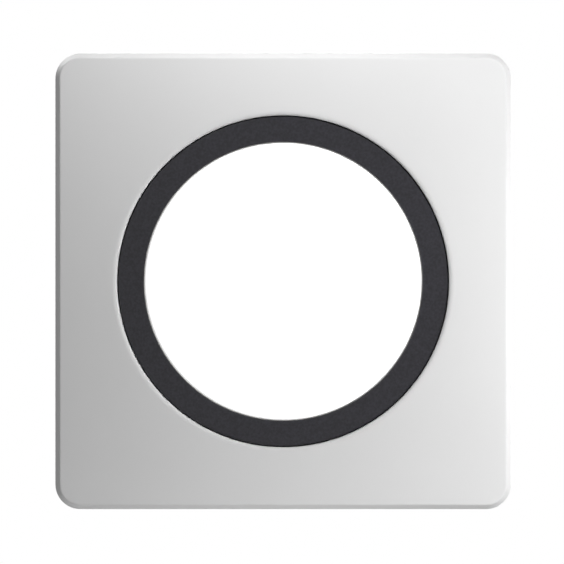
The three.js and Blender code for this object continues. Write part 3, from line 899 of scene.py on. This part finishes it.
def wire_funnel(x, cage):
    """A square wire entry through the box's lower wall, widening outwards."""
    half, mouth, flare = 1.7, 2.1, 0.35
    level = (cage.back + cage.front) / 2
    wall = -POWER_BOX.half
    return loft("funnel", [
        [Vector((x + sx * reach, y, level + sz * reach)) for sx, sz in QUARTERS]
        for y, reach in ((wall + 2.5, half), (wall + flare, half), (wall - 0.1, mouth))
    ])


def lid():
    socket = Extent("board_socket")
    corner, edge = 12.1, 0.2
    plate = loft("lid", [
        square_loop(LID.half - inset, corner - inset, z)
        for inset, z in (
            (edge, LID.back), (0, LID.back + edge), (0, LID.front - edge), (edge, LID.front),
        )
    ])
    through = (-3, 1)
    tools = [
        peg(SCREW_CLEARANCE, *through, sx * FRAME_SCREW.x, sy * FRAME_SCREW.y) for sx, sy in QUARTERS
    ]
    tools.append(block(socket.width + 1, socket.height + 1, *through, socket.x, socket.y))
    cut(plate, *tools)
    show(plate, "lid_plate", "power_unit", "inner_plastic", "power_box_lid")


def rear_shell():
    corner, wall, floor, edge = 4.0, 1.2, 1.0, 0.5
    back, inner = SHELL.back, SHELL.back + floor
    shell = cup("rear_shell", SHELL.half, corner, wall, back, SHELL.front, floor, edge)
    plug = Extent("board_plug")
    through = (back - PAST, inner + PAST)
    standoffs, holes = [], []
    for sx, sy in QUARTERS:
        x, y = sx * HOUSING_SCREW.x, sy * HOUSING_SCREW.y
        standoffs.append(peg(BOSS, inner - ROOT, inner + 0.4, x, y))
        holes.append(peg(SCREW_CLEARANCE, *through, x, y))
    join(shell, *standoffs)
    holes.append(block(plug.width + 1, plug.height + 1, *through, plug.x, plug.y))
    sensor_x, sensor_width, sensor_level = 24, 9, 6.1
    holes.append(block(sensor_width, 4, sensor_level, SHELL.front + PAST, sensor_x, -SHELL.half))
    screw_head = 4.3
    for side in (1, -1):
        holes.append(peg(screw_head, *through, side * WALL_SCREW.x, 0, 64))
    holes.append(label_recess(back, 14, half_x=15, half_y=6.5, radius=1.2, flare=0.2, edge=0.25))
    ejector, ejector_x, ejector_y = 2.2, 22, 26
    for sx, sy in QUARTERS:
        holes.append(peg(ejector, back - 0.1, back + 0.15, sx * ejector_x, sy * ejector_y))
    cut(shell, *holes)
    show(shell, "rear_cover", "front_unit", "inner_plastic", "rear_shell")


def mounting_frame():
    """The steel frame: slots for the wall screws, and pads pressed out of the sheet towards the wall."""
    front = STEEL_FRAME.front
    back = front - 1.2
    sheet = prism("sheet", clipped_square(STEEL_FRAME.half, 58, 1.5), back, front)
    through = (back - PAST, front + PAST)
    opening, slot_half, slot_radius = 19.5, 4.1, 2.1
    tools = [peg(opening, *through, sides=160)]
    for side in (1, -1):
        x = side * WALL_SCREW.x
        tools.append(prism("slot", stadium(slot_half, slot_radius, x, 0), *through))
        tools.append(peg(slot_radius, *through, 0, x))
    pad_x, pad_y, pressed = 31, 12, 0.45
    pads = []
    for sx, sy in QUARTERS:
        tools.append(peg(SCREW_CLEARANCE, *through, sx * FRAME_SCREW.x, sy * FRAME_SCREW.y))
        x, y = sx * pad_x, sy * pad_y
        tools.append(prism("pocket", round_box(1.9, 3.4, 0.8, x, y), front - pressed, front + PAST))
        pad = prism("pad", round_box(2.5, 4, 1.2, x, y), STEEL_FRAME.back, back + 0.2)
        pads.append(round_edges(pad, 0.25))
    cut(sheet, *tools)
    round_edges(sheet, 0.12, 2, 40)
    join(sheet, *pads)
    show(sheet, "steel_frame", "power_unit", "zinc_steel", "mounting_frame")


def plug_and_socket():
    plug, socket = Extent("board_plug"), Extent("board_socket")
    body = block(plug.width, plug.height, -0.5, plug.front, plug.x, plug.y)
    round_edges(body, 0.25)
    show(body, "plug_housing", "front_unit", "black_plastic", "board_plug")
    housing = block(socket.width, socket.height, socket.back, socket.front, socket.x, socket.y)
    round_edges(housing, 0.25)
    pitch, well, well_end, pin, pin_tip = 2.54, 1.1, -6.2, 0.3, 0.12
    wells, pins = [], []
    for column in range(-2, 3):
        for row in (-0.5, 0.5):
            x, y = plug.x + column * pitch, plug.y + row * pitch
            wells.append(block(well, well, well_end, 0, x, y))
            pins.append(loft("pin", [
                [Vector((x + sx * half, y + sy * half, z)) for sx, sy in QUARTERS]
                for half, z in ((pin_tip, plug.back), (pin, plug.back + 0.45), (pin, 0.5))
            ]))
    cut(housing, *wells)
    show(housing, "socket_housing", "power_unit", "black_plastic", "board_socket")
    show(merged("plug_pins", pins), "plug_pins", "front_unit", "brass", "board_plug")


def merged(name, parts):
    """Several separate shapes as one piece."""
    bm = bmesh.new()
    for part in parts:
        bm.from_mesh(part.data)
        bpy.data.objects.remove(part)
    mesh = bpy.data.meshes.new(name)
    bm.to_mesh(mesh)
    bm.free()
    return make(name, mesh)


# ---------------------------------------------------------------- inner parts


def edged(node, width):
    """A finer copy of a CAD node, with its edges rounded."""
    body = next(b for b, members in frame["record"]["behaviour"]["bodies"].items() if node in members)
    piece = make(node, frame["nodes"][node].data.copy())
    swept(round_edges(piece, width, 2))
    show(piece, node + "_body", body, SLOTS[node], node)


def bearing_carrier():
    """The moulding behind the ring: its rail carries the ring, and its sleeve guides the face disc."""
    at = Extent("bearing_carrier")
    back, front, corner = 7.6, 9.0, 4
    rail_inner, rail_outer, rail_top = 29.5, 32.4, 9.9
    sleeve_inner, sleeve_outer, hole = 25.3, 26.75, 21.6
    catch, catch_level = 25.8, 10.9
    outer = soften([
        (at.half - 2, back), (at.half, back, 0.25), (at.half, front, 0.25), (at.half - 2, front),
    ], closed=False)
    inner = soften([
        (rail_outer + 0.6, front), (rail_outer, front, 0.15), (rail_outer, rail_top, 0.2),
        (rail_inner, rail_top, 0.2), (rail_inner, front, 0.15), (sleeve_outer, front, 0.15),
        (sleeve_outer, at.front, 0.2), (sleeve_inner, at.front, 0.2), (sleeve_inner, catch_level, 0.1),
        (catch, catch_level, 0.1), (catch, front, 0.15), (hole, front, 0.2), (hole, back, 0.2),
        (hole + 1.4, back),
    ], closed=False)
    sheet = [square_loop(p.x, corner - (at.half - p.x), p.y) for p in outer]
    carrier = loft("carrier", sheet + [circle_loop(p.x, p.y) for p in inner], ring=True)
    bosses, holes = [], []
    for sx, sy in QUARTERS:
        x, y = sx * HOUSING_SCREW.x, sy * HOUSING_SCREW.y
        bosses.append(peg(BOSS, at.back, back + ROOT, x, y))
        holes.append(peg(SCREW_CLEARANCE, at.back - PAST, front + PAST, x, y))
    post, post_end, post_x, post_y = 2, 11.4, 10.6, 35.2
    posts = [
        round_edges(block(post, post, front - ROOT, post_end, side * post_x, post_y), 0.2)
        for side in (1, -1)
    ]
    join(carrier, *bosses, *posts)
    cut(carrier, *holes)
    show(carrier, "carrier_moulding", "front_unit", "inner_plastic", "bearing_carrier")


def ring_parts():
    at = Extent("magnet_ring")
    inner, outer = at.half - 1.4, at.half
    band = revolve("magnet", soften([
        (inner, at.back, 0.15), (outer, at.back, 0.15), (outer, at.front, 0.15), (inner, at.front, 0.15),
    ], steps=3), 192)
    show(band, "magnet_band", "ring", "bonded_magnet", "magnet_ring")
    at = Extent("click_spring")
    end, shoulder, tip, thickness = 35.4, 34.6, 32.6, 0.3
    line = soften([
        (at.left, end), (-1.7, shoulder, 0.8), (-0.45, tip, 0.4), (0.45, tip, 0.4), (1.7, shoulder, 0.8),
        (at.right, end),
    ], closed=False)
    leaf = prism("click", strip_outline(line, thickness), at.back, at.front)
    round_edges(leaf, 0.06, 2, 50)
    show(leaf, "click_leaf", "front_unit", "spring_steel", "click_spring")


def button_parts():
    at = Extent("light_guide")
    hole, slope, bevel = 3.5, 0.4, at.front - 0.3
    guide = revolve("guide", soften([
        (hole, at.back, 0.15), (at.half, at.back, 0.15), (at.half, bevel, 0.1),
        (at.half - slope, at.front, 0.1), (hole + slope, at.front, 0.1), (hole, bevel, 0.1),
    ], steps=3), 192)
    show(guide, "guide_disc", "front_unit", "clear_plastic", "light_guide")
    at = Extent("switch_plunger")
    stem = revolve("stem", soften([
        (0, at.back), (at.half, at.back, 0.1), (at.half, at.front, 0.3), (0, at.front),
    ], steps=4), 48)
    show(stem, "plunger_stem", "face_button", "grey_plastic", "switch_plunger")


def boards():
    at = Extent("control_board")
    corner = 2.4
    board = prism("board", round_box(at.half, at.half, corner), at.back, at.front)
    cut(board, *[
        peg(SCREW_CLEARANCE, at.back - PAST, at.front + PAST, sx * HOUSING_SCREW.x, sy * HOUSING_SCREW.y)
        for sx, sy in QUARTERS
    ])
    round_edges(board, 0.06, 2)
    show(board, "control_board_sheet", "front_unit", "circuit_board", "control_board")
    at = Extent("power_board")
    clipped_at = 29.4
    board = prism("board", clipped_square(at.half, clipped_at, 0.5), at.back, at.front)
    round_edges(board, 0.06, 2)
    show(board, "power_board_sheet", "power_unit", "circuit_board", "power_board")


def smoothing_capacitor():
    """An aluminium can with its crimp at the foot and a scored top."""
    at = Extent("smoothing_capacitor")
    foot, top, radius = at.back, at.front, at.half
    crimp, crimp_low, crimp_high = foot + 1.45, foot + 1, foot + 1.9
    brim, dip = radius - 0.7, top - 0.15
    can = revolve("can", soften([
        (0, foot), (radius, foot, 0.3), (radius, crimp_low, 0.2), (radius - 0.3, crimp, 0.2),
        (radius, crimp_high, 0.2), (radius, top, 0.4), (brim, top, 0.1), (brim - 0.1, dip, 0.05), (0, dip),
    ], steps=4), 96, at.x, at.y)
    long, narrow = 4.4, 0.25
    scores = [block(u, v, top - 0.3, top, at.x, at.y) for u, v in ((long, narrow), (narrow, long))]
    cut(can, *scores)
    show(can, "capacitor_can", "power_unit", "can_aluminium", "smoothing_capacitor")


def inner_parts():
    bearing_carrier()
    ring_parts()
    button_parts()
    boards()
    smoothing_capacitor()
    for node in ("relay", "film_capacitor"):
        edged(node, 0.3)
    crisp = ["fuse", "transformer", "terminal_block", "switch_body", "controller_chip"]
    crisp += ["temperature_sensor", "ring_sensor_left", "ring_sensor_right"]
    crisp += [f"backlight_led_{i}" for i in range(1, 5)]
    crisp += [f"terminal_cage_{i}" for i in range(1, 6)]
    for node in crisp:
        edged(node, 0.12)


# ---------------------------------------------------------------- stage


def soft_light(name, place, size, radiance, mirrored=False):
    """A square light at a place in metres, aimed at the face; shiny pieces only show it if mirrored."""
    data = bpy.data.lights.new(name, "AREA")
    data.shape = "SQUARE"
    data.size = size
    data.energy = radiance * size * size * math.pi
    lamp = bpy.data.objects.new(name, data)
    bpy.context.scene.collection.objects.link(lamp)
    lamp.location = place
    aim = Vector((0, CAD_LOW.y, 0)) - lamp.location
    lamp.rotation_euler = aim.to_track_quat("-Z", "Y").to_euler()
    lamp.visible_camera = False
    lamp.visible_glossy = mirrored


def sky(sheen):
    """White to the camera and a pale room for the object to mirror; it adds no other light."""
    world = bpy.data.worlds.new("studio")
    bpy.context.scene.world = world
    world.use_nodes = True
    tree = world.node_tree
    tree.nodes.clear()
    seen = tree.nodes.new("ShaderNodeBackground")
    seen.inputs["Strength"].default_value = 1.0
    seen.inputs["Color"].default_value = (1, 1, 1, 1)
    lit = tree.nodes.new("ShaderNodeBackground")
    lit.inputs["Color"].default_value = (1, 1, 1, 1)
    path = tree.nodes.new("ShaderNodeLightPath")
    level = tree.nodes.new("ShaderNodeMath")
    level.operation = "MULTIPLY"
    level.inputs[1].default_value = sheen
    tree.links.new(path.outputs["Is Glossy Ray"], level.inputs[0])
    tree.links.new(level.outputs["Value"], lit.inputs["Strength"])
    mix = tree.nodes.new("ShaderNodeMixShader")
    output = tree.nodes.new("ShaderNodeOutputWorld")
    tree.links.new(path.outputs["Is Camera Ray"], mix.inputs["Fac"])
    tree.links.new(lit.outputs["Background"], mix.inputs[1])
    tree.links.new(seen.outputs["Background"], mix.inputs[2])
    tree.links.new(mix.outputs["Shader"], output.inputs["Surface"])


def floor():
    """A pale floor below, which fades into the white beyond it."""
    level, radius = -0.6, 3.0
    bm = bmesh.new()
    bmesh.ops.create_circle(bm, cap_ends=True, segments=96, radius=radius)
    bmesh.ops.translate(bm, verts=bm.verts, vec=(0, 0, level))
    mesh = bpy.data.meshes.new("floor")
    bm.to_mesh(mesh)
    bm.free()
    ground = make("floor", mesh)
    n = Nodes("pale_floor")
    n.shader.inputs["Roughness"].default_value = 0.8
    slow = n.noise(0.002, 2.0)
    n.wire(n.ramp(slow, "Fac", 0.1, 0.11), "Color", n.shader, "Base Color")
    glow = n.add("ShaderNodeLightPath")
    n.wire(glow, "Is Camera Ray", n.shader, "Emission Strength")
    n.shader.inputs["Emission Color"].default_value = colour(0.82)
    reach = n.add("ShaderNodeTexGradient", gradient_type="SPHERICAL")
    spot = n.add("ShaderNodeMapping")
    spot.inputs["Location"].default_value = (0, 0, -level / radius)
    spot.inputs["Scale"].default_value = (1 / radius,) * 3
    n.wire(n.add("ShaderNodeTexCoord"), "Object", spot, "Vector")
    n.wire(spot, "Vector", reach, "Vector")
    fade = n.ramp(reach, "Fac", 0.0, 1.0, 0.05, 0.75)
    clear = n.add("ShaderNodeBsdfTransparent")
    mix = n.add("ShaderNodeMixShader")
    n.wire(fade, "Color", mix, "Fac")
    n.wire(clear, "BSDF", mix, 1)
    n.wire(n.shader, "BSDF", mix, 2)
    n.wire(mix, "Shader", n.output, "Surface")
    ground.data.materials.append(n.material)


def camera():
    """Level and square to the face, from far enough away that the sides don't show."""
    distance = 0.7
    frame_width = 0.1062  # what the picture's width takes in at the plate's face
    shift = (-0.00195, -0.00115)  # sets the plate a little off the middle, in shares of that width
    data = bpy.data.cameras.new("camera")
    data.sensor_width = 36
    data.lens = data.sensor_width * distance / frame_width
    data.shift_x, data.shift_y = shift
    eye = bpy.data.objects.new("camera", data)
    bpy.context.scene.collection.objects.link(eye)
    eye.location = (0, CAD_LOW.y - distance, 0)
    eye.rotation_euler = (math.pi / 2, 0, 0)
    bpy.context.scene.camera = eye


def stage():
    camera()
    sky(0.55)
    floor()
    soft_light("top", (0.006, -0.076, 0.128), size=0.045, radiance=20.5)
    soft_light("right", (0.128, -0.072, -0.006), size=0.047, radiance=18.5)
    soft_light("left", (-0.85, -0.05, 0.0), size=0.265, radiance=5.6)
    soft_light("bottom", (0.01, -0.08, -0.135), size=0.09, radiance=3.4)
    soft_light("back_left", (-0.35, 0.5, 0.35), size=0.3, radiance=6, mirrored=True)
    soft_light("back_right", (0.4, 0.45, 0.1), size=0.3, radiance=3, mirrored=True)
    settings = bpy.context.scene.view_settings
    settings.view_transform = "Standard"
    settings.look = "None"


# ---------------------------------------------------------------- everything

stage()
cover_plate()
setting_ring()
face_disc()
screws()
retaining_springs()
power_box()
lid()
rear_shell()
mounting_frame()
plug_and_socket()
inner_parts()
